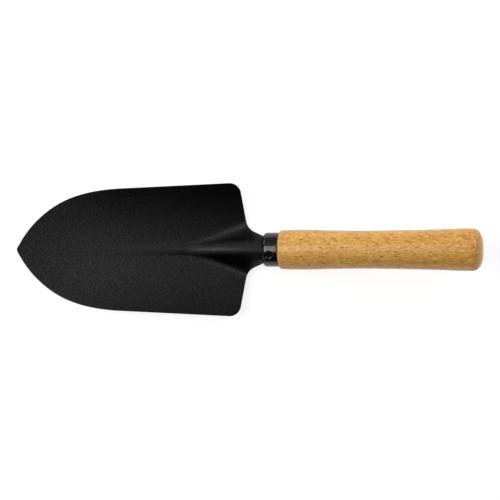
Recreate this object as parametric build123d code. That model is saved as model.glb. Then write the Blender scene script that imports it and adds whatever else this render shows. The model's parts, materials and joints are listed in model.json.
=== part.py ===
from build123d import *
import math
import os

# Hand trowel lying on the back of its blade, tip towards -X, butt of the handle towards +X, +Z up.
# All sizes in millimetres.  While it is being built, z = 0 is the ground and x = 0 is where the neck of
# the blade goes into the ferrule; the finished pieces are then moved so that the origin is the middle
# of the underside.

# --- sheet steel blade -------------------------------------------------------------------------
SHEET = 1.3                     # thickness of the pressed sheet
TIP_X = -149.4                  # point of the blade
TIP_HALF_ANGLE = 63.0           # angle between the centre line and the edge at the point
TIP_ROUND = 2.5                 # the point is blunted to this radius
FRONT_EDGE = [(-142.0, 11.9), (-132.3, 21.8), (-121.5, 28.95), (-108.2, 33.9)]
SIDE_FRONT = (-84.8, 37.1)      # where the curved front edge runs into the long side
SIDE_ANGLE = 2.7                # the long sides open by this much towards the back
SHOULDER_X = -14.1              # square corner behind the long side, before rounding
SHOULDER_ROUND = 7.0
NECK_ROOT = (-8.95, 12.6)       # inner corner between the back edge and the neck, before rounding
NECK_ROOT_ROUND = 9.0
NECK_END = (-0.6, 8.85)         # x and half width where the neck enters the ferrule

DISH_BEND_BACK = 0.0160         # curvature of the dish across the blade, 1/mm, at the back
DISH_BEND_TIP = 0.0065          # and at the point
TIP_LIFT = 1.6                  # the point stands this much off the ground
TIP_LIFT_START = -104.0

# --- ridge and neck pressed up out of the blade --------------------------------------------------
RIDGE_START = -47.0             # the ridge grows out of the floor of the blade here
RIDGE_START_SLOPE = 0.05
RIDGE_END_SLOPE = 0.60
CREST_ABOVE_AXIS = 7.2          # top of the neck above the handle axis at x = 0
RIDGE_RADIUS = 4.0              # the half tube starts as a cone of this radius
NECK_RADIUS = 9.3               # and has this outside radius at the ferrule
ROOF_SLOPE = 0.12               # the top is a little sharper than round, like a roof of this slope
ROOF_ROUND = 1.5                # with this much rounding at its crest
WALL_ANGLE = 50.0               # the walls of the half tube get no steeper than this
BLEND_FRONT = 5.0               # softness of the valley beside the ridge, at its start
BLEND_BACK = 12.0               # and from BLEND_END on
BLEND_END = -8.0

# --- tang, the same half tube drawn down and driven into the handle --------------------------------
THROAT_START = -1.0             # the neck begins to draw in just in front of the ferrule
TANG_THROAT = (5.0, 5.6)        # x and half width where it has been drawn in
TANG_LENGTH = 54.0
TANG_END_HALF_WIDTH = 2.6
TANG_THROAT_RADIUS = 6.6
TANG_END_RADIUS = 3.4
TANG_CREST_THROAT = 4.6         # top of the tang above the handle axis
TANG_CREST_END = 1.5

# --- how finely the pressed shape is sampled before a smooth face is put through it ----------------
GRID_ALONG = 100
GRID_ACROSS = 20
GRID_HALF_WIDTH = 43.0
GRID_CROWDING = 2.2
GRID_MARGIN = 3.0
GRID_TOLERANCE = 0.02
SLOPE_STEP = 0.02               # the slope of the sheet is taken over this distance
BLOCK_BELOW = 10.0              # the plan shape is first a block from this far below the ground
BLOCK_HEIGHT = 80.0

# --- handle axis -----------------------------------------------------------------------------------
AXIS_HEIGHT = 12.6              # of the handle axis above the ground at x = 0
HANDLE_TILT = 9.5               # the handle rises by this angle

# --- ferrule ---------------------------------------------------------------------------------------
# here and below, lengths along the handle are measured along its axis from the point above x = 0
FERRULE_START = 0.85
FERRULE_RADIUS = 10.35
FERRULE_WALL = 0.9
FERRULE_LENGTH = 9.3
FERRULE_MOUTH = 9.0             # radius of the hole the neck goes through
FERRULE_NOSE_ROUND = 3.0        # the front edge is turned in to this radius
DIMPLE_DIAMETER = 5.2           # of the punched mark that locks the ferrule to the wood
DIMPLE_FLOOR = 4.2              # diameter of its flat floor
DIMPLE_DEPTH = 0.8
DIMPLE_POSITION = 4.45          # from the front of the ferrule
DIMPLE_ANGLE = 18.0             # round from the top of the ferrule, towards -Y
PUNCH_HEIGHT = 4.0              # of the punch above the floor of the mark

# --- turned wooden handle ----------------------------------------------------------------------------
SEAM = 0.25                     # gap between the back of the ferrule and the wood
NOSE_START = 5.4                # front of the reduced nose inside the ferrule
BORE_MOUTH_RADIUS = 6.6
BORE_END = 56.5
BORE_END_RADIUS = 3.7
FRONT_RADIUS = 10.55            # of the wood where it meets the ferrule
FRONT_TANGENT = (0.45, 0.9)
FRONT_ROUND = (11.2, 11.38)
GRIP_START = (14.5, 11.8)
GRIP_TANGENT = (1.0, 0.06)
GRIP = [(23.0, 12.0), (42.0, 11.62), (62.0, 11.38), (84.0, 11.62), (106.0, 12.13)]
BUTT_SWELL = (126.5, 12.7)      # thickest place, then the wood turns in to the butt
BUTT_CORNER = (130.9, 10.2)
BUTT_FLAT = (132.7, 4.0)        # end of the handle and radius of its flat

TAN_TILT = math.tan(math.radians(HANDLE_TILT))


def clamp(value):
    return min(1.0, max(0.0, value))


def ease(value):
    value = clamp(value)
    return value * value * (3.0 - 2.0 * value)


def between(a, b, share):
    return a + (b - a) * share


def floor_height(x):
    """Inner face of the blade along the centre line, without the ridge."""
    forward = max(0.0, TIP_LIFT_START - x) / (TIP_LIFT_START - TIP_X)
    return SHEET + TIP_LIFT * forward ** 2


def dish_height(x, y):
    """Inner face of the dished blade, without the ridge."""
    forward = clamp(-x / -TIP_X)
    bend = between(DISH_BEND_BACK, DISH_BEND_TIP, forward)
    return floor_height(x) + bend * y * y / 2.0


def axis_height(x):
    return AXIS_HEIGHT + x * TAN_TILT


def throat_share(x):
    """How far the neck has been drawn in to the tang: quickly at first, then easing off."""
    left = 1.0 - clamp((x - THROAT_START) / (TANG_THROAT[0] - THROAT_START))
    return 1.0 - left * left


def crest_height(x):
    """Top of the ridge, the neck and the tang along the centre line."""
    end_height = AXIS_HEIGHT + CREST_ABOVE_AXIS
    length = -RIDGE_START
    drawn = throat_share(x) * (CREST_ABOVE_AXIS - TANG_CREST_THROAT)
    if x <= RIDGE_START:
        return SHEET + (x - RIDGE_START) * RIDGE_START_SLOPE
    if x <= 0.0:
        u = (x - RIDGE_START) / length
        rise = (end_height - SHEET) * u * u * (3.0 - 2.0 * u)
        start = RIDGE_START_SLOPE * length * u * (1.0 - u) ** 2
        end = RIDGE_END_SLOPE * length * u * u * (u - 1.0)
        return SHEET + rise + start + end - drawn
    along = clamp((x - TANG_THROAT[0]) / (TANG_LENGTH - TANG_THROAT[0]))
    return axis_height(x) + between(CREST_ABOVE_AXIS - drawn, TANG_CREST_END, along)


def tube_radius(x):
    along = clamp((x - TANG_THROAT[0]) / (TANG_LENGTH - TANG_THROAT[0]))
    neck = between(NECK_RADIUS, RIDGE_RADIUS, clamp(x / RIDGE_START))
    return between(between(neck, TANG_THROAT_RADIUS, throat_share(x)), TANG_END_RADIUS, along)


def tube_drop(x, y):
    """How far the half tube has fallen below its crest at y."""
    radius = tube_radius(x)
    edge = radius * math.sin(math.radians(WALL_ANGLE))
    inside = min(abs(y), edge)
    drop = radius - math.sqrt(radius * radius - inside * inside)
    roof = ROOF_SLOPE * (math.hypot(y, ROOF_ROUND) - ROOF_ROUND)
    return drop + roof + (abs(y) - inside) * math.tan(math.radians(WALL_ANGLE))


def sheet_height(x, y):
    """Upper face of the pressed sheet: the dish and the half tube, run together with a soft valley."""
    dish = dish_height(x, y)
    tube = crest_height(x) - tube_drop(x, y)
    blend = between(BLEND_FRONT, BLEND_BACK, ease((x - RIDGE_START) / (BLEND_END - RIDGE_START)))
    overlap = max(0.0, blend - abs(dish - tube)) / blend
    return max(dish, tube) + blend * overlap ** 3 / 6.0


def sheet_normal(x, y):
    step = SLOPE_STEP
    slope_x = (sheet_height(x + step, y) - sheet_height(x - step, y)) / (2.0 * step)
    slope_y = (sheet_height(x, y + step) - sheet_height(x, y - step)) / (2.0 * step)
    return Vector(-slope_x, -slope_y, 1.0).normalized()


def sheet_face(depth):
    """A smooth face lying this deep in the sheet, a little larger all round than the sheet part."""
    grid = []
    for i in range(GRID_ALONG + 1):
        x = between(TIP_X - GRID_MARGIN, TANG_LENGTH + GRID_MARGIN, i / GRID_ALONG)
        row = []
        for j in range(-GRID_ACROSS, GRID_ACROSS + 1):
            # rows lie closer together near the centre line, where the neck is steep
            y = GRID_HALF_WIDTH * math.sinh(GRID_CROWDING * j / GRID_ACROSS) / math.sinh(GRID_CROWDING)
            row.append(Vector(x, y, sheet_height(x, y)) - sheet_normal(x, y) * depth)
        grid.append(row)
    return Face.make_surface_from_array_of_points(grid, tol=GRID_TOLERANCE, min_deg=3, max_deg=5)


def blade_outline():
    """Plan shape of the whole sheet part: point, sides, shoulders, neck and tang."""
    tip = (TIP_X, 0.0)
    side = SIDE_FRONT
    rise = math.tan(math.radians(SIDE_ANGLE))
    corner = (SHOULDER_X, side[1] + (SHOULDER_X - side[0]) * rise)
    with BuildSketch() as sketch:
        with BuildLine():
            Spline(
                tip,
                *FRONT_EDGE,
                side,
                tangents=(
                    (math.cos(math.radians(TIP_HALF_ANGLE)), math.sin(math.radians(TIP_HALF_ANGLE))),
                    (math.cos(math.radians(SIDE_ANGLE)), math.sin(math.radians(SIDE_ANGLE))),
                ),
            )
            FilletPolyline(
                side,
                corner,
                NECK_ROOT,
                NECK_END,
                radius=(SHOULDER_ROUND, NECK_ROOT_ROUND),
            )
            Polyline(
                NECK_END,
                TANG_THROAT,
                (TANG_LENGTH, TANG_END_HALF_WIDTH),
                (TANG_LENGTH, 0.0),
                tip,
            )
        make_face()
        mirror(about=Plane.XZ)
        fillet(sketch.vertices().sort_by(Axis.X)[0], TIP_ROUND)
    return sketch.sketch


def upper_part(solid, face):
    return max(split(solid, bisect_by=face, keep=Keep.BOTH).solids(), key=lambda piece: piece.center().Z)


def lower_part(solid, face):
    return min(split(solid, bisect_by=face, keep=Keep.BOTH).solids(), key=lambda piece: piece.center().Z)


def make_blade():
    """The pressed sheet: what is left of the plan shape between its upper and lower face."""
    block = extrude(Pos(0, 0, -BLOCK_BELOW) * blade_outline(), amount=BLOCK_HEIGHT)
    below = lower_part(block, sheet_face(0.0))
    return upper_part(below, sheet_face(SHEET))


def along_handle(shape):
    """Puts a shape turned about the X axis onto the tilted handle axis."""
    return Pos(0, 0, AXIS_HEIGHT) * Rot(0, -HANDLE_TILT, 0) * shape


def punch(extra):
    """Flat-ended cone that makes the punched mark; extra is how much larger it is all round."""
    slope = (DIMPLE_DIAMETER - DIMPLE_FLOOR) / 2.0 / DIMPLE_DEPTH
    end_radius = DIMPLE_FLOOR / 2.0 + extra * (math.sqrt(1.0 + slope * slope) - slope)
    top_radius = end_radius + PUNCH_HEIGHT * slope
    cone = Cone(end_radius, top_radius, PUNCH_HEIGHT, align=(Align.CENTER, Align.CENTER, Align.MIN))
    end = FERRULE_RADIUS - DIMPLE_DEPTH - extra
    return Pos(FERRULE_START + DIMPLE_POSITION, 0, 0) * Rot(DIMPLE_ANGLE, 0, 0) * Pos(0, 0, end) * cone


def make_ferrule():
    """Drawn cap, its front edge turned in round the neck, punched once into the wood."""
    inner = FERRULE_RADIUS - FERRULE_WALL
    inner_round = FERRULE_NOSE_ROUND - FERRULE_WALL
    rise = FERRULE_MOUTH - (FERRULE_RADIUS - FERRULE_NOSE_ROUND)
    front = FERRULE_START
    back = FERRULE_START + FERRULE_LENGTH
    straight = front + math.sqrt(FERRULE_NOSE_ROUND ** 2 - rise ** 2)
    lip = straight - math.sqrt(inner_round ** 2 - rise ** 2)
    with BuildSketch() as section:
        with BuildLine():
            RadiusArc((front, FERRULE_MOUTH), (straight, FERRULE_RADIUS), FERRULE_NOSE_ROUND)
            Polyline((straight, FERRULE_RADIUS), (back, FERRULE_RADIUS), (back, inner), (straight, inner))
            RadiusArc((straight, inner), (lip, FERRULE_MOUTH), -inner_round)
            Line((lip, FERRULE_MOUTH), (front, FERRULE_MOUTH))
        make_face()
    shell = revolve(section.sketch, axis=Axis.X)
    middle = (front + back) / 2.0
    core = Pos(middle, 0, 0) * Rot(0, 90, 0) * Cylinder(inner + FERRULE_WALL / 2.0, FERRULE_LENGTH)
    punched = shell + (punch(FERRULE_WALL) & core) - punch(0.0)
    return along_handle(punched)


def make_handle():
    """Turned grip with a reduced nose inside the ferrule and a tapered bore for the tang."""
    nose_radius = FERRULE_RADIUS - FERRULE_WALL
    front = FERRULE_START + FERRULE_LENGTH + SEAM
    with BuildSketch() as section:
        with BuildLine():
            Polyline(
                (BORE_END, 0.0),
                (BORE_END, BORE_END_RADIUS),
                (NOSE_START, BORE_MOUTH_RADIUS),
                (NOSE_START, nose_radius),
                (front, nose_radius),
                (front, FRONT_RADIUS),
            )
            Spline((front, FRONT_RADIUS), FRONT_ROUND, GRIP_START, tangents=(FRONT_TANGENT, GRIP_TANGENT))
            Spline(GRIP_START, *GRIP, BUTT_SWELL, tangents=(GRIP_TANGENT, (1.0, 0.0)))
            corner = TangentArc(BUTT_SWELL, BUTT_CORNER, tangent=(1.0, 0.0))
            TangentArc(BUTT_CORNER, BUTT_FLAT, tangent=corner % 1)
            Polyline(BUTT_FLAT, (BUTT_FLAT[0], 0.0), (BORE_END, 0.0))
        make_face()
    turned = revolve(section.sketch, axis=Axis.X)
    return along_handle(turned - punch(FERRULE_WALL))


def placed(pieces):
    """Moves the finished pieces so that the origin is the middle of the underside of the trowel."""
    box = Compound(children=[piece.moved(Location()) for piece in pieces.values()]).bounding_box()
    shift = Pos(-(box.min.X + box.max.X) / 2.0, -(box.min.Y + box.max.Y) / 2.0, -box.min.Z)
    return {name: shift * piece for name, piece in pieces.items()}


def main():
    pieces = placed({"blade": make_blade(), "ferrule": make_ferrule(), "handle": make_handle()})
    os.makedirs("parts", exist_ok=True)
    for name, piece in pieces.items():
        piece.label = name
        export_step(piece, f"parts/{name}.step")
        print(name, piece.is_valid, round(piece.volume), piece.bounding_box())


main()
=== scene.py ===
import json
import math

import bpy
import numpy as np
from mathutils import Matrix, Vector
from mathutils.geometry import delaunay_2d_cdt


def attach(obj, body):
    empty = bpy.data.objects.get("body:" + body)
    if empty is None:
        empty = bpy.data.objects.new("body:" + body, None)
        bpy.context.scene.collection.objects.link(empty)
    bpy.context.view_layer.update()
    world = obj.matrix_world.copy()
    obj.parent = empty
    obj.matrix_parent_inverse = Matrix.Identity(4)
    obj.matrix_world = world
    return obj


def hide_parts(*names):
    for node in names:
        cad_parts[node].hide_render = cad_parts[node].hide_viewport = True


# A garden hand trowel lying on the back of its blade, seen from straight above.
# Shapes are worked out in millimetres with x = 0 at the front of the ferrule, as the solid model is,
# and moved into the frame's own place by the butt mount of the record.

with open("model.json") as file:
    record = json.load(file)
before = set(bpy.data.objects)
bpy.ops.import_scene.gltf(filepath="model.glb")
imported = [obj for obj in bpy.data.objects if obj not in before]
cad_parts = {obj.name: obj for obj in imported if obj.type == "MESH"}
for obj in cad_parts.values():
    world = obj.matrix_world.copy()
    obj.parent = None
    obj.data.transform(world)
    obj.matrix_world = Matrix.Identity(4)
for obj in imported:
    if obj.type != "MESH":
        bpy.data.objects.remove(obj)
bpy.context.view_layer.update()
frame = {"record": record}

MM = 0.001

# ---- sizes shared with the solid model (mm) ------------------------------------------------------
SHEET = 1.3
TIP_X = -149.4
TIP_HALF_ANGLE = 63.0
TIP_ROUND = 2.5
FRONT_EDGE = [(-142.0, 11.9), (-132.3, 21.8), (-121.5, 28.95), (-108.2, 33.9)]
SIDE_FRONT = (-84.8, 37.1)
SIDE_ANGLE = 2.7
SHOULDER_X = -14.1
SHOULDER_ROUND = 7.0
NECK_ROOT = (-8.95, 12.6)
NECK_ROOT_ROUND = 9.0
NECK_END = (-0.6, 8.85)
DISH_BEND_BACK = 0.0160
DISH_BEND_TIP = 0.0065
TIP_LIFT = 1.6
TIP_LIFT_START = -104.0
RIDGE_START = -47.0
RIDGE_START_SLOPE = 0.05
RIDGE_END_SLOPE = 0.60
CREST_ABOVE_AXIS = 7.2
NECK_RADIUS = 9.3
RIDGE_RADIUS = 4.0
ROOF_SLOPE = 0.12
ROOF_ROUND = 1.5
WALL_ANGLE = math.radians(50.0)
BLEND_FRONT = 5.0
BLEND_BACK = 12.0
BLEND_END = -8.0
THROAT_START = -1.0
TANG_THROAT = (5.0, 5.6)
TANG_LENGTH = 54.0
TANG_END_HALF_WIDTH = 2.6
TANG_THROAT_RADIUS = 6.6
TANG_END_RADIUS = 3.4
TANG_CREST_THROAT = 4.6
TANG_CREST_END = 1.5
AXIS_HEIGHT = 12.6
HANDLE_TILT = math.radians(9.5)
FERRULE_START = 0.85
FERRULE_RADIUS = 10.35
FERRULE_WALL = 0.9
FERRULE_LENGTH = 9.3
FERRULE_MOUTH = 9.0
FERRULE_NOSE_ROUND = 3.0
DIMPLE_DIAMETER = 5.2
DIMPLE_FLOOR = 4.2
DIMPLE_DEPTH = 0.8
DIMPLE_POSITION = 4.45
DIMPLE_ANGLE = math.radians(18.0)
SEAM = 0.25
NOSE_START = 5.4
BORE_MOUTH_RADIUS = 6.6
FRONT_RADIUS = 10.55
FRONT_TANGENT = (0.45, 0.9)
FRONT_ROUND = (11.2, 11.38)
GRIP_START = (14.5, 11.8)
GRIP_TANGENT = (1.0, 0.06)
GRIP = [(23.0, 12.0), (42.0, 11.62), (62.0, 11.38), (84.0, 11.62), (106.0, 12.13)]
BUTT_SWELL = (126.5, 12.7)
BUTT_CORNER = (130.9, 10.2)
BUTT_FLAT = (132.7, 4.0)

# ---- how finely the meshes are made (mm) ----------------------------------------------------------
EDGE_ROUND = 0.45
EDGE_ANGLES = [math.radians(degrees) for degrees in (22.5, 45.0, 67.5, 90.0)]
RIM_STEP = 0.9
NECK_STEP = 0.7
TANG_STEP = 1.0
TANG_END_STEP = 0.8
COARSE_GRID = 1.8
FINE_GRID = 0.9
ROW_PITCH = 0.866  # rows of even-sided triangles lie this share of the spacing apart
GRID_HALF_WIDTH = 42.0
FINE_HALF_WIDTH = 20.0
FINE_START_X = -52.0
WING_END_X = -8.0
WING_GAP = 0.6  # share of the coarse spacing between the fine grid and the wings beside it
GRID_CLEARANCE = 0.45
FERRULE_SEGMENTS = 480
HANDLE_SEGMENTS = 144

# ---- where the frame put that origin --------------------------------------------------------------
butt = next(m for m in frame["record"]["mounts"] if m["name"] == "butt_face")
ORIGIN = Vector(butt["pos_m"]) - MM * Vector((
    BUTT_FLAT[0] * math.cos(HANDLE_TILT),
    0.0,
    AXIS_HEIGHT + BUTT_FLAT[0] * math.sin(HANDLE_TILT),
))


# ==== plain geometry helpers =======================================================================
def clamp(value):
    return np.clip(value, 0.0, 1.0)


def ease(value):
    value = clamp(value)
    return value * value * (3.0 - 2.0 * value)


def between(a, b, share):
    return a + (b - a) * share


def unit(vectors):
    return vectors / np.linalg.norm(vectors, axis=-1, keepdims=True)


def smooth_curve(points, start, end, step):
    """Points along the smooth curve through some points, with a given direction at each end."""
    p = np.array(points, float)
    length = np.linalg.norm(np.diff(p, axis=0), axis=1)
    n = len(p)
    system = np.zeros((n, n))
    wanted = np.zeros((n, 2))
    system[0, 0] = system[-1, -1] = 1.0
    wanted[0] = unit(np.array(start, float))
    wanted[-1] = unit(np.array(end, float))
    for i in range(1, n - 1):
        a, b = length[i - 1], length[i]
        system[i, i - 1:i + 2] = (b, 2.0 * (a + b), a)
        wanted[i] = 3.0 * (b * (p[i] - p[i - 1]) / a + a * (p[i + 1] - p[i]) / b)
    slope = np.linalg.solve(system, wanted)
    out = []
    for i in range(n - 1):
        count = max(2, int(math.ceil(length[i] / step)))
        s = (np.arange(count) / count)[:, None]
        h = length[i]
        out.append(
            (2 * s ** 3 - 3 * s ** 2 + 1) * p[i]
            + (s ** 3 - 2 * s ** 2 + s) * h * slope[i]
            + (3 * s ** 2 - 2 * s ** 3) * p[i + 1]
            + (s ** 3 - s ** 2) * h * slope[i + 1]
        )
    out.append(p[-1:])
    return np.vstack(out)


def straight(a, b, step):
    """Points from a up to, but not including, b."""
    a, b = np.array(a, float), np.array(b, float)
    count = max(1, int(round(np.linalg.norm(b - a) / step)))
    return a + (b - a) * (np.arange(count) / count)[:, None]


def rounded_corner(before, corner, after, radius, steps):
    """Arc that rounds off a corner."""
    before, corner, after = (np.array(v, float) for v in (before, corner, after))
    u, v = unit(before - corner), unit(after - corner)
    half = math.acos(float(np.dot(u, v))) / 2.0
    back = radius / math.tan(half)
    centre = corner + unit(u + v) * radius / math.sin(half)
    a, b = corner + u * back - centre, corner + v * back - centre
    turn = math.acos(float(np.dot(a, b)) / radius ** 2)
    t = np.linspace(0.0, 1.0, steps + 1)[:, None]
    return centre + (np.sin((1 - t) * turn) * a + np.sin(t * turn) * b) / math.sin(turn)


def arc_from(start, end, heading, steps):
    """Arc from start to end that leaves start along heading; gives its points and its end heading."""
    start, end = np.array(start, float), np.array(end, float)
    heading = unit(np.array(heading, float))
    chord = end - start
    side = np.array([-heading[1], heading[0]])
    radius = float(chord @ chord) / (2.0 * float(chord @ side))
    centre = start + side * radius
    a, b = start - centre, end - centre
    turn = math.atan2(a[0] * b[1] - a[1] * b[0], a @ b)
    angles = np.linspace(0.0, turn, steps + 1)[:, None]
    rot_x = np.cos(angles) * a[0] - np.sin(angles) * a[1]
    rot_y = np.sin(angles) * a[0] + np.cos(angles) * a[1]
    c, s = math.cos(turn), math.sin(turn)
    out = np.array([c * heading[0] - s * heading[1], s * heading[0] + c * heading[1]])
    return centre + np.hstack([rot_x, rot_y]), out


def mesh_object(name, points_mm, faces, material, normals=None):
    """A piece from points in mm and its faces, with the surface's direction at each point if given."""
    mesh = bpy.data.meshes.new(name)
    mesh.from_pydata((np.asarray(points_mm) * MM).tolist(), [], faces)
    mesh.validate()
    mesh.polygons.foreach_set("use_smooth", [True] * len(mesh.polygons))
    if normals is not None:
        mesh.normals_split_custom_set_from_vertices(unit(np.asarray(normals, float)).tolist())
    mesh.materials.append(material)
    mesh.update()
    obj = bpy.data.objects.new(name, mesh)
    bpy.context.scene.collection.objects.link(obj)
    return obj


def ring_faces(first, second):
    """Quads that join two closed rings of point numbers."""
    return list(zip(first, first[1:] + first[:1], second[1:] + second[:1], second))


# ==== the pressed sheet ============================================================================
def throat_share(x):
    """How far the neck has been drawn in to the tang: quickly at first, then easing off."""
    left = 1.0 - clamp((x - THROAT_START) / (TANG_THROAT[0] - THROAT_START))
    return 1.0 - left * left


def crest_height(x):
    end_height = AXIS_HEIGHT + CREST_ABOVE_AXIS
    length = -RIDGE_START
    drawn = throat_share(x) * (CREST_ABOVE_AXIS - TANG_CREST_THROAT)
    u = clamp((x - RIDGE_START) / length)
    rise = (end_height - SHEET) * u * u * (3.0 - 2.0 * u)
    start = RIDGE_START_SLOPE * length * u * (1.0 - u) ** 2
    end = RIDGE_END_SLOPE * length * u * u * (u - 1.0)
    ridge = SHEET + rise + start + end - drawn
    front = SHEET + (x - RIDGE_START) * RIDGE_START_SLOPE
    along = clamp((x - TANG_THROAT[0]) / (TANG_LENGTH - TANG_THROAT[0]))
    above = between(CREST_ABOVE_AXIS - drawn, TANG_CREST_END, along)
    tang = AXIS_HEIGHT + x * math.tan(HANDLE_TILT) + above
    return np.where(x <= RIDGE_START, front, np.where(x <= 0.0, ridge, tang))


def tube_drop(x, y):
    along = clamp((x - TANG_THROAT[0]) / (TANG_LENGTH - TANG_THROAT[0]))
    neck = between(NECK_RADIUS, RIDGE_RADIUS, clamp(x / RIDGE_START))
    radius = between(between(neck, TANG_THROAT_RADIUS, throat_share(x)), TANG_END_RADIUS, along)
    inside = np.minimum(np.abs(y), radius * math.sin(WALL_ANGLE))
    drop = radius - np.sqrt(radius * radius - inside * inside)
    roof = ROOF_SLOPE * (np.hypot(y, ROOF_ROUND) - ROOF_ROUND)
    return drop + roof + (np.abs(y) - inside) * math.tan(WALL_ANGLE)


def sheet_height(x, y):
    """Upper face of the sheet: dished blade and half-tube neck, run together by a soft valley."""
    bend = between(DISH_BEND_BACK, DISH_BEND_TIP, clamp(x / TIP_X))
    forward = np.maximum(0.0, TIP_LIFT_START - x) / (TIP_LIFT_START - TIP_X)
    dish = SHEET + TIP_LIFT * forward ** 2 + bend * y * y / 2.0
    tube = crest_height(x) - tube_drop(x, y)
    blend = between(BLEND_FRONT, BLEND_BACK, ease((x - RIDGE_START) / (BLEND_END - RIDGE_START)))
    overlap = np.maximum(0.0, blend - np.abs(dish - tube)) / blend
    return np.maximum(dish, tube) + blend * overlap ** 3 / 6.0


def sheet_normal(x, y):
    step = 0.05
    slope_x = (sheet_height(x + step, y) - sheet_height(x - step, y)) / (2.0 * step)
    slope_y = (sheet_height(x, y + step) - sheet_height(x, y - step)) / (2.0 * step)
    return unit(np.stack([-slope_x, -slope_y, np.ones_like(slope_x)], axis=-1))


def underside(x, y):
    """Height and direction of the lower face of the sheet below plan points."""
    at_x, at_y = x, y
    for _ in range(12):
        normal = sheet_normal(at_x, at_y)
        at_x = x + normal[:, 0] * SHEET
        at_y = y + normal[:, 1] * SHEET
    normal = sheet_normal(at_x, at_y)
    return sheet_height(at_x, at_y) - normal[:, 2] * SHEET, -normal


def blade_outline():
    """Plan outline of blade, neck and tang, once round, starting at the point."""
    side = math.radians(SIDE_ANGLE)
    lead = math.radians(TIP_HALF_ANGLE)
    corner = (SHOULDER_X, SIDE_FRONT[1] + (SHOULDER_X - SIDE_FRONT[0]) * math.tan(side))
    curve = smooth_curve(
        [(TIP_X, 0.0), *FRONT_EDGE, SIDE_FRONT],
        (math.cos(lead), math.sin(lead)),
        (math.cos(side), math.sin(side)),
        RIM_STEP,
    )
    shoulder = rounded_corner(SIDE_FRONT, corner, NECK_ROOT, SHOULDER_ROUND, 12)
    root = rounded_corner(corner, NECK_ROOT, NECK_END, NECK_ROOT_ROUND, 10)
    # round the point: keep the curve from where the rounding ends
    centre_x = TIP_X + TIP_ROUND / math.sin(lead)
    clear_of_round = 0.02
    keep = curve[np.hypot(curve[:, 0] - centre_x, curve[:, 1]) > TIP_ROUND + clear_of_round]
    keep = keep[keep[:, 1] > TIP_ROUND * math.cos(lead)]
    first = math.atan2(keep[0][1], keep[0][0] - centre_x)
    angles = np.linspace(math.pi, first, 7)[:-1]
    tip = np.stack([centre_x + TIP_ROUND * np.cos(angles), TIP_ROUND * np.sin(angles)], axis=-1)
    tang_end = (TANG_LENGTH, TANG_END_HALF_WIDTH)
    tail = (TANG_LENGTH, 0.0)
    upper = np.vstack([
        tip,
        keep[:-1],
        straight(SIDE_FRONT, shoulder[0], RIM_STEP),
        shoulder[:-1],
        straight(shoulder[-1], root[0], RIM_STEP),
        root[:-1],
        straight(root[-1], NECK_END, NECK_STEP),
        straight(NECK_END, TANG_THROAT, NECK_STEP),
        straight(TANG_THROAT, tang_end, TANG_STEP),
        straight(tang_end, tail, TANG_END_STEP),
        [tail],
    ])
    lower = upper[1:-1][::-1] * (1.0, -1.0)
    return np.vstack([upper, lower])


def inside_outline(points, outline):
    """Which points an outline encloses, and how far each is from it."""
    gap = np.full(len(points), np.inf)
    crossings = np.zeros(len(points), int)
    for a, b in zip(outline, np.roll(outline, -1, axis=0)):
        ab = b - a
        t = np.clip(((points - a) @ ab) / (ab @ ab), 0.0, 1.0)
        gap = np.minimum(gap, np.linalg.norm(points - a - t[:, None] * ab, axis=1))
        if a[1] != b[1]:
            at = a[0] + (points[:, 1] - a[1]) / (b[1] - a[1]) * ab[0]
            crossings += ((a[1] > points[:, 1]) != (b[1] > points[:, 1])) & (points[:, 0] < at)
    return crossings % 2 == 1, gap


def grid_row(low_x, high_x, y, spacing, row):
    """A row of grid points; every other row is shifted by half the spacing."""
    x = np.arange(low_x + (row % 2) * spacing / 2.0, high_x, spacing)
    return np.stack([x, np.full_like(x, y)], axis=-1)


def blade_grid():
    """Plan points over the whole sheet: fine along the ridge and tang, coarse in front and beside."""
    rows = []
    for spacing, low_x, high_x, half_width in (
        (COARSE_GRID, TIP_X, FINE_START_X, GRID_HALF_WIDTH),
        (FINE_GRID, FINE_START_X, TANG_LENGTH, FINE_HALF_WIDTH),
    ):
        for row in range(int(2 * half_width / (spacing * ROW_PITCH)) + 1):
            y = -half_width + row * spacing * ROW_PITCH
            rows.append(grid_row(low_x, high_x, y, spacing, row))
    wing_rows = int((GRID_HALF_WIDTH - FINE_HALF_WIDTH) / (COARSE_GRID * ROW_PITCH)) + 1
    for side in (-1.0, 1.0):
        for row in range(wing_rows):
            y = side * (FINE_HALF_WIDTH + COARSE_GRID * WING_GAP + row * COARSE_GRID * ROW_PITCH)
            rows.append(grid_row(FINE_START_X, WING_END_X, y, COARSE_GRID, row))
    return np.vstack(rows)


def triangulate(border, grid):
    """Plan points, triangles between them, and the point numbers of the border, in its order."""
    count = len(border)
    edges = [(i, (i + 1) % count) for i in range(count)]
    flat = [Vector(point) for point in np.vstack([border, grid]).tolist()]
    made = delaunay_2d_cdt(flat, edges, [], 0, 1e-7, True)
    points = np.array([tuple(point) for point in made[0]])
    triangles = np.array([tuple(face) for face in made[2]])
    kept, _ = inside_outline(points[triangles].mean(axis=1), border)
    where = {came_from[0]: i for i, came_from in enumerate(made[3]) if came_from}
    ring = [where[i] for i in range(count)]
    return points, [tuple(face) for face in triangles[kept].tolist()], ring


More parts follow.
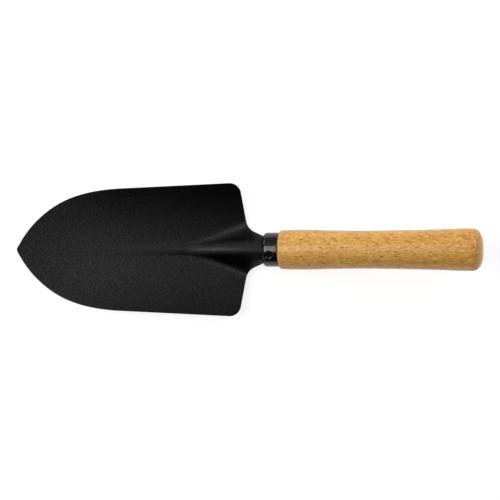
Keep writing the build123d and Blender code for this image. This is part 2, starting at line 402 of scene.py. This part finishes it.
def make_blade(material):
    """The whole pressed sheet, its rim rounded and cut square to the ground."""
    rim = blade_outline()
    along = unit(np.roll(rim, -1, axis=0) - np.roll(rim, 1, axis=0))
    outward = np.stack([-along[:, 1], along[:, 0]], axis=-1)
    inner = rim - outward * EDGE_ROUND
    grid = blade_grid()
    enclosed, gap = inside_outline(grid, inner)
    plan, triangles, ring = triangulate(inner, grid[enclosed & (gap > GRID_CLEARANCE)])

    x, y = plan[:, 0], plan[:, 1]
    top_z, top_normal = sheet_height(x, y), sheet_normal(x, y)
    low_z, low_normal = underside(x, y)
    points = [np.column_stack([plan, top_z]), np.column_stack([plan, low_z])]
    normals = [top_normal, low_normal]
    below = len(plan)
    faces = triangles + [tuple(below + i for i in reversed(face)) for face in triangles]

    # the rounded rim, ring by ring from the upper face over to the lower one
    level_out = np.column_stack([outward, np.zeros(len(rim))])
    previous = ring
    start = 2 * below
    turns = [(a, False) for a in EDGE_ANGLES] + [(a, True) for a in reversed(EDGE_ANGLES)]
    for angle, is_lower in turns:
        edge = inner + outward * EDGE_ROUND * math.sin(angle)
        x, y = edge[:, 0], edge[:, 1]
        if is_lower:
            z, face_normal = underside(x, y)
            z = z + EDGE_ROUND * (1.0 - math.cos(angle))
        else:
            z, face_normal = sheet_height(x, y), sheet_normal(x, y)
            z = z - EDGE_ROUND * (1.0 - math.cos(angle))
        points.append(np.column_stack([edge, z]))
        normals.append(level_out * math.sin(angle) + face_normal * math.cos(angle))
        current = list(range(start, start + len(rim)))
        start += len(rim)
        faces += ring_faces(previous, current)
        previous = current
    faces += ring_faces(previous, [below + i for i in ring])
    return mesh_object("blade_sheet", np.vstack(points), faces, material, np.vstack(normals))


# ==== turned and drawn pieces ======================================================================
def spin(profile, segments):
    """Points and quads of a profile turned about the X axis, in one ring for each profile point."""
    angle = np.arange(segments) * 2.0 * math.pi / segments
    points = np.array([
        np.stack([np.full(segments, x), r * np.sin(angle), r * np.cos(angle)], axis=-1)
        for x, r in profile
    ])
    rings = [list(range(i * segments, (i + 1) * segments)) for i in range(len(profile))]
    quads = []
    for first, second in zip(rings, rings[1:]):
        quads += ring_faces(first, second)
    return points.reshape(-1, 3), quads


def on_handle_axis(obj):
    obj.matrix_world = (
        Matrix.Translation(ORIGIN + Vector((0.0, 0.0, AXIS_HEIGHT * MM)))
        @ Matrix.Rotation(-HANDLE_TILT, 4, "Y")
    )
    return obj


def arc_points(centre_x, centre_r, radius, angles):
    return [(centre_x + radius * math.cos(a), centre_r + radius * math.sin(a)) for a in angles]


def ferrule_profile():
    """From the mouth, round the front edge, back along the outside, over the rim and in again."""
    quarter = math.pi / 2
    inner = FERRULE_RADIUS - FERRULE_WALL
    inner_round = FERRULE_NOSE_ROUND - FERRULE_WALL
    hub = FERRULE_RADIUS - FERRULE_NOSE_ROUND
    rise = FERRULE_MOUTH - hub
    front = FERRULE_START
    end = FERRULE_START + FERRULE_LENGTH
    flat = front + math.sqrt(FERRULE_NOSE_ROUND ** 2 - rise ** 2)
    lip_at = flat - math.sqrt(inner_round ** 2 - rise ** 2)
    lip_edge = 0.35  # the mouth is cylindrical up to this far behind the front
    lip_soft = (0.12, 0.02)
    rim_round = 0.22
    lip = [
        (lip_at, FERRULE_MOUTH),
        (front + lip_edge, FERRULE_MOUTH),
        (front + lip_soft[0], FERRULE_MOUTH + lip_soft[1]),
    ]
    outer_angles = np.linspace(math.pi - math.acos((flat - front) / FERRULE_NOSE_ROUND), quarter, 14)
    outer = arc_points(flat, hub, FERRULE_NOSE_ROUND, outer_angles[1:])
    body = [(x, FERRULE_RADIUS) for x in np.linspace(flat, end - rim_round, 60)[1:]]
    back_angles = np.linspace(quarter, 0.0, 5)[1:]
    back = arc_points(end - rim_round, FERRULE_RADIUS - rim_round, rim_round, back_angles)
    inner_angles = np.linspace(quarter, math.pi - math.acos((flat - lip_at) / inner_round), 7)
    inside = [(end, inner), (flat, inner)] + arc_points(flat, hub, inner_round, inner_angles[1:-1])
    return lip + outer + body + back + inside


def punched(points):
    """Pushes the ferrule's wall in under a flat-ended cone, with a soft edge round the mark."""
    edge_softness = 0.08
    outer_wall_only = FERRULE_RADIUS - FERRULE_WALL + 0.3
    slope = (DIMPLE_DIAMETER - DIMPLE_FLOOR) / 2.0 / DIMPLE_DEPTH

    def above_zero(value):
        return 0.5 * (value + np.sqrt(value ** 2 + edge_softness ** 2))

    foot = np.array([FERRULE_START + DIMPLE_POSITION, 0.0, 0.0])
    outward = np.array([0.0, -math.sin(DIMPLE_ANGLE), math.cos(DIMPLE_ANGLE)])
    offset = points - foot
    height = offset @ outward
    across = np.linalg.norm(offset - height[..., None] * outward, axis=-1)
    face = FERRULE_RADIUS - DIMPLE_DEPTH + above_zero(across - DIMPLE_FLOOR / 2.0) / slope
    outside = np.hypot(points[..., 1], points[..., 2]) > outer_wall_only
    push = np.where(outside & (height > 0.0), above_zero(height - face), 0.0)
    return points - push[..., None] * outward


def make_ferrule(material):
    """Drawn steel cap: rounded front edge, rolled rim at the back, one punched mark."""
    points, quads = spin(ferrule_profile(), FERRULE_SEGMENTS)
    return on_handle_axis(mesh_object("ferrule_cap", punched(points), quads, material))


def handle_profile():
    """From inside the bore, out over the nose and the front bulge, along the grip, to the butt."""
    front = FERRULE_START + FERRULE_LENGTH + SEAM
    nose_radius = FERRULE_RADIUS - FERRULE_WALL
    bore_shown = 3.0
    nose_chamfer = 0.4
    nose_gap = 0.05  # all round, inside the ferrule
    front_corner = 0.25
    front_corner_middle = (0.02, 0.08)
    chin_step = 0.35
    grip_step = 0.8
    butt_rings = (3.0, 1.5, 0.02)  # radii on the flat end; the last all but closes it
    nose = [
        (NOSE_START + bore_shown, BORE_MOUTH_RADIUS),
        (NOSE_START, BORE_MOUTH_RADIUS),
        (NOSE_START, nose_radius - nose_chamfer),
        (NOSE_START + nose_chamfer, nose_radius - nose_gap),
        (front, nose_radius - nose_gap),
        (front, FRONT_RADIUS - front_corner),
        (front + front_corner_middle[0], FRONT_RADIUS - front_corner_middle[1]),
    ]
    chin_points = [(front, FRONT_RADIUS), FRONT_ROUND, GRIP_START]
    chin = smooth_curve(chin_points, FRONT_TANGENT, GRIP_TANGENT, chin_step)
    grip = smooth_curve([GRIP_START, *GRIP, BUTT_SWELL], GRIP_TANGENT, (1.0, 0.0), grip_step)
    swell, heading = arc_from(BUTT_SWELL, BUTT_CORNER, (1.0, 0.0), 12)
    end, _ = arc_from(BUTT_CORNER, BUTT_FLAT, heading, 12)
    flat = [(BUTT_FLAT[0], radius) for radius in butt_rings]
    return np.vstack([nose, chin[1:-1], grip[:-1], swell[:-1], end, flat])


def make_handle(material):
    points, quads = spin(handle_profile(), HANDLE_SEGMENTS)
    return on_handle_axis(mesh_object("handle_grip", points, quads, material))


# ==== materials ====================================================================================
COAT_DARK = (0.0003, 0.0003, 0.0003, 1.0)
COAT_LIGHT = (0.0008, 0.0008, 0.0008, 1.0)
COAT_PEBBLE = (0.0025, 0.0025, 0.0027, 1.0)
# grey of the small pale specks painted on the coat as glints (painted sparkle)
PAINTED_GLINT_GREY = (0.14, 0.135, 0.13, 1.0)
ENAMEL = (0.0030, 0.0030, 0.0032, 1.0)
ENAMEL_DULL = (0.0062, 0.0060, 0.0058, 1.0)
HONEY = (0.68, 0.350, 0.070, 1.0)
HONEY_PALE = (0.77, 0.440, 0.105, 1.0)
HONEY_DEEP = (0.63, 0.300, 0.058, 1.0)
WOOD_BLUSH = (0.78, 0.440, 0.200, 1.0)
STREAK_DARK = (0.46, 0.200, 0.036, 1.0)
STREAK_PALE = (0.90, 0.570, 0.190, 1.0)
WOOD_PORE = (0.42, 0.180, 0.040, 1.0)
RAY_FLECK = (0.30, 0.125, 0.034, 1.0)

# sockets of the colour mix node
MIX_SHARE = 0
MIX_A = 6
MIX_B = 7
MIX_RESULT = 2


class Nodes:
    """Small helper that adds shader nodes to one material."""

    def __init__(self, name):
        self.material = bpy.data.materials.new(name)
        self.material.use_nodes = True
        self.tree = self.material.node_tree
        self.tree.nodes.clear()
        self.output = self.tree.nodes.new("ShaderNodeOutputMaterial")

    def add(self, kind, inputs=(), **settings):
        node = self.tree.nodes.new(kind)
        for key, value in settings.items():
            setattr(node, key, value)
        for key, value in dict(inputs).items():
            self.feed(node.inputs[key], value)
        return node

    def feed(self, socket, value):
        """Links a socket to another one, or sets its constant value."""
        if isinstance(value, bpy.types.NodeSocket):
            self.tree.links.new(value, socket)
        else:
            socket.default_value = value

    def place(self, scale, offset=(0.0, 0.0, 0.0)):
        """Place in the piece's own metres; a small scale along X stretches a pattern that way."""
        here = self.add("ShaderNodeTexCoord").outputs["Object"]
        mapping = self.add("ShaderNodeMapping", {"Vector": here, "Scale": scale, "Location": offset})
        return mapping.outputs["Vector"]

    def noise(self, vector, scale, detail=3.0, rough=0.5, distortion=0.0):
        return self.add("ShaderNodeTexNoise", {
            "Vector": vector,
            "Scale": scale,
            "Detail": detail,
            "Roughness": rough,
            "Distortion": distortion,
        }).outputs["Fac"]

    def cells(self, vector, scale):
        """Distance to the middle of the nearest cell, and the parts of that cell's own colour."""
        cell = self.add("ShaderNodeTexVoronoi", {"Vector": vector, "Scale": scale, "Randomness": 1.0})
        colour = self.add("ShaderNodeSeparateColor", {"Color": cell.outputs["Color"]})
        return cell.outputs["Distance"], colour.outputs

    def span(self, value, low, high, to_low=0.0, to_high=1.0):
        return self.add("ShaderNodeMapRange", {
            "Value": value,
            "From Min": low,
            "From Max": high,
            "To Min": to_low,
            "To Max": to_high,
        }).outputs["Result"]

    def math(self, kind, a, b):
        node = self.add("ShaderNodeMath", {0: a, 1: b}, operation=kind)
        return node.outputs[0]

    def mix(self, share, a, b):
        node = self.add("ShaderNodeMix", {MIX_SHARE: share, MIX_A: a, MIX_B: b}, data_type="RGBA")
        return node.outputs[MIX_RESULT]

    def bump(self, height, strength, distance, normal=None):
        inputs = {"Height": height, "Strength": strength, "Distance": distance}
        if normal is not None:
            inputs["Normal"] = normal
        return self.add("ShaderNodeBump", inputs).outputs["Normal"]

    def finish(self, **inputs):
        named = {key.replace("_", " "): value for key, value in inputs.items()}
        shader = self.add("ShaderNodeBsdfPrincipled", named)
        self.feed(self.output.inputs["Surface"], shader.outputs["BSDF"])
        return self.material


def powder_coat():
    """Satin black powder coat: pebbled grain, soft clouds in the gloss, a few pale specks painted in as
    glints.
    """
    n = Nodes("black_powder_coat")
    here = n.place((1.0, 1.0, 1.0))
    pebble = n.noise(here, scale=1150.0, detail=2.0, rough=0.55)
    grit = n.noise(here, scale=1500.0, detail=1.0, rough=0.6)
    cloud = n.noise(here, scale=30.0, detail=3.0, rough=0.55)
    middle, pick = n.cells(here, scale=260.0)
    dot = n.span(middle, 0.045, 0.085, 1.0, 0.0)
    speck = n.math("MULTIPLY", dot, n.span(pick["Red"], 0.985, 0.992))
    base = n.mix(n.span(cloud, 0.35, 0.65), COAT_DARK, COAT_LIGHT)
    base = n.mix(n.span(pebble, 0.50, 0.72), base, COAT_PEBBLE)
    # painted glints: rare pale specks mixed into the coat's colour to stand in for sparkle
    base = n.mix(speck, base, PAINTED_GLINT_GREY)
    rough = n.span(cloud, 0.3, 0.7, 0.37, 0.42)
    rough = n.math("ADD", rough, n.span(pebble, 0.3, 0.7, 0.05, -0.05))
    normal = n.bump(pebble, strength=0.35, distance=0.0006)
    normal = n.bump(grit, strength=0.25, distance=0.00025, normal=normal)
    facing = n.add("ShaderNodeLayerWeight", {"Blend": 0.5}).outputs["Facing"]
    gloss = n.span(facing, 0.35, 0.62, 0.25, 0.05)
    gloss = n.math("MULTIPLY", gloss, n.span(grit, 0.40, 0.60, 0.72, 1.28))
    return n.finish(Base_Color=base, Roughness=rough, Specular_IOR_Level=gloss, Normal=normal)


def gloss_enamel():
    """Dipped gloss black enamel: nearly smooth, a little waviness and a few dull spots."""
    n = Nodes("black_enamel")
    here = n.place((1.0, 1.0, 1.0))
    wave = n.noise(here, scale=260.0, detail=2.0, rough=0.5)
    spots = n.noise(here, scale=900.0, detail=3.0, rough=0.6)
    base = n.mix(n.span(spots, 0.45, 0.7), ENAMEL, ENAMEL_DULL)
    rough = n.span(spots, 0.35, 0.75, 0.13, 0.24)
    normal = n.bump(wave, strength=0.10, distance=0.0008)
    return n.finish(Base_Color=base, Roughness=rough, Specular_IOR_Level=0.5, Normal=normal)


def lacquered_beech():
    """Beech turned along the grain: honey ground, wavy short streaks, dark ray flecks, thin lacquer."""
    n = Nodes("lacquered_beech")
    short_grain = n.place((0.34, 1.0, 1.0))
    band_place = n.place((0.06, 1.0, 1.0), (0.013, 0.004, 0.0))
    bands = n.noise(band_place, scale=170.0, detail=3.0, rough=0.55, distortion=0.6)
    streak = n.noise(short_grain, scale=960.0, detail=3.0, rough=0.65, distortion=1.0)
    blush_place = n.place((0.36, 1.0, 1.0), (0.4, 0.2, 0.1))
    blush = n.noise(blush_place, scale=560.0, detail=2.0, rough=0.55, distortion=0.8)
    pores = n.noise(n.place((0.05, 1.0, 1.0)), scale=1900.0, detail=2.0, rough=0.6)
    tone = n.noise(n.place((0.35, 1.0, 1.0)), scale=38.0, detail=2.0, rough=0.5)
    honey = n.mix(n.span(bands, 0.36, 0.66), HONEY, HONEY_PALE)
    honey = n.mix(n.span(tone, 0.35, 0.70), honey, HONEY_DEEP)
    honey = n.mix(n.span(blush, 0.55, 0.72, 0.0, 0.6), honey, WOOD_BLUSH)
    honey = n.mix(n.span(streak, 0.50, 0.62, 0.0, 0.80), honey, STREAK_DARK)
    honey = n.mix(n.span(streak, 0.46, 0.34, 0.0, 0.72), honey, STREAK_PALE)
    honey = n.mix(n.span(pores, 0.52, 0.72, 0.0, 0.3), honey, WOOD_PORE)
    middle, pick = n.cells(short_grain, scale=760.0)
    line = n.span(middle, 0.20, 0.44, 1.0, 0.0)
    fleck = n.math("MULTIPLY", line, n.span(pick["Green"], 0.50, 0.80))
    wood = n.mix(n.math("MULTIPLY", fleck, 0.85), honey, RAY_FLECK)
    height = n.math("SUBTRACT", n.math("MULTIPLY", streak, -0.6), fleck)
    return n.finish(
        Base_Color=wood,
        Roughness=n.span(pores, 0.3, 0.7, 0.34, 0.46),
        Specular_IOR_Level=0.30,
        Normal=n.bump(height, strength=0.20, distance=0.00018),
        Coat_Weight=0.15,
        Coat_Roughness=0.20,
    )


# ==== build ========================================================================================
coat = powder_coat()
blade = make_blade(coat)
blade.location = ORIGIN
ferrule = make_ferrule(gloss_enamel())
handle = make_handle(lacquered_beech())
for piece, node, slot in (
    (blade, "blade", "coated_steel"),
    (ferrule, "ferrule", "enamelled_steel"),
    (handle, "handle", "lacquered_beech"),
):
    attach(piece, "root")
    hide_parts(node)


# ==== floor, light and camera ======================================================================
FLOOR_HALF = 4.0
FLOOR_DROP = 0.0002  # the floor lies this far below the trowel
FLOOR_GREY = (0.25, 0.25, 0.25, 1.0)
FLOOR_GLOW = 0.85
WHITE = (1.0, 1.0, 1.0, 1.0)
AROUND = 0.012

TROWEL = (0.0, 0.0, 0.02)
# name, place, what it points at, size, and how bright its face looks, 1 being white in the picture
LIGHTS = (
    ("softbox_front", (-1.19, 0.13, 1.45), (-1.19, 0.13, 0.0), (1.52, 1.06), 6.1),
    ("panel_far", (-0.1, 1.10, 1.45), TROWEL, (2.4, 0.9), 0.45),
    ("wall_far", (0.3, 2.00, 0.80), TROWEL, (2.6, 1.4), 0.25),
    ("panel_tip", (-1.47, 1.52, 0.65), TROWEL, (1.0, 0.9), 2.2),
    ("fill_butt", (1.1, 1.0, 1.1), TROWEL, (0.7, 0.7), 8.5),
)

CAMERA_HEIGHT = 1.5
WIDTH_SEEN = 0.304
SEEN_MIDDLE = (ORIGIN.x - 7.54 * MM, -0.0002)


def make_floor():
    """Plain pale floor that is nearly as bright as the background."""
    corners = [(-1, -1), (1, -1), (1, 1), (-1, 1)]
    mesh = bpy.data.meshes.new("floor")
    mesh.from_pydata([(FLOOR_HALF * x, FLOOR_HALF * y, 0.0) for x, y in corners], [], [(0, 1, 2, 3)])
    floor = bpy.data.objects.new("floor", mesh)
    floor.location.z = -FLOOR_DROP
    bpy.context.scene.collection.objects.link(floor)
    n = Nodes("floor_white")
    paper = n.add("ShaderNodeBsdfDiffuse", {"Color": FLOOR_GREY}).outputs[0]
    glow = n.add("ShaderNodeEmission", {"Color": WHITE, "Strength": FLOOR_GLOW}).outputs[0]
    both = n.add("ShaderNodeAddShader", {0: paper, 1: glow}).outputs[0]
    n.feed(n.output.inputs["Surface"], both)
    mesh.materials.append(n.material)


def area_light(name, place, target, size, brightness):
    light = bpy.data.lights.new(name, "AREA")
    light.shape = "RECTANGLE"
    light.size, light.size_y = size
    light.energy = brightness * math.pi * size[0] * size[1]
    lamp = bpy.data.objects.new(name, light)
    lamp.location = place
    lamp.rotation_euler = (Vector(target) - Vector(place)).to_track_quat("-Z", "Y").to_euler()
    lamp.visible_camera = False
    bpy.context.scene.collection.objects.link(lamp)


def make_lights():
    """A softbox above the blade end, dim panels on the far side, a small fill from beyond the butt."""
    for light in LIGHTS:
        area_light(*light)
    world = bpy.data.worlds.new("studio")
    world.use_nodes = True
    background = world.node_tree.nodes["Background"]
    background.inputs["Color"].default_value = WHITE
    background.inputs["Strength"].default_value = AROUND
    bpy.context.scene.world = world


def make_camera():
    """Straight down on the trowel from a metre and a half, with a long lens."""
    camera = bpy.data.cameras.new("camera")
    camera.sensor_width = 36.0
    camera.lens = camera.sensor_width * CAMERA_HEIGHT / WIDTH_SEEN
    camera.clip_end = 20.0
    rig = bpy.data.objects.new("camera", camera)
    rig.location = (*SEEN_MIDDLE, CAMERA_HEIGHT)
    bpy.context.scene.collection.objects.link(rig)
    bpy.context.scene.camera = rig
    bpy.context.scene.view_settings.view_transform = "Standard"
    bpy.context.scene.view_settings.look = "None"


make_floor()
make_lights()
make_camera()
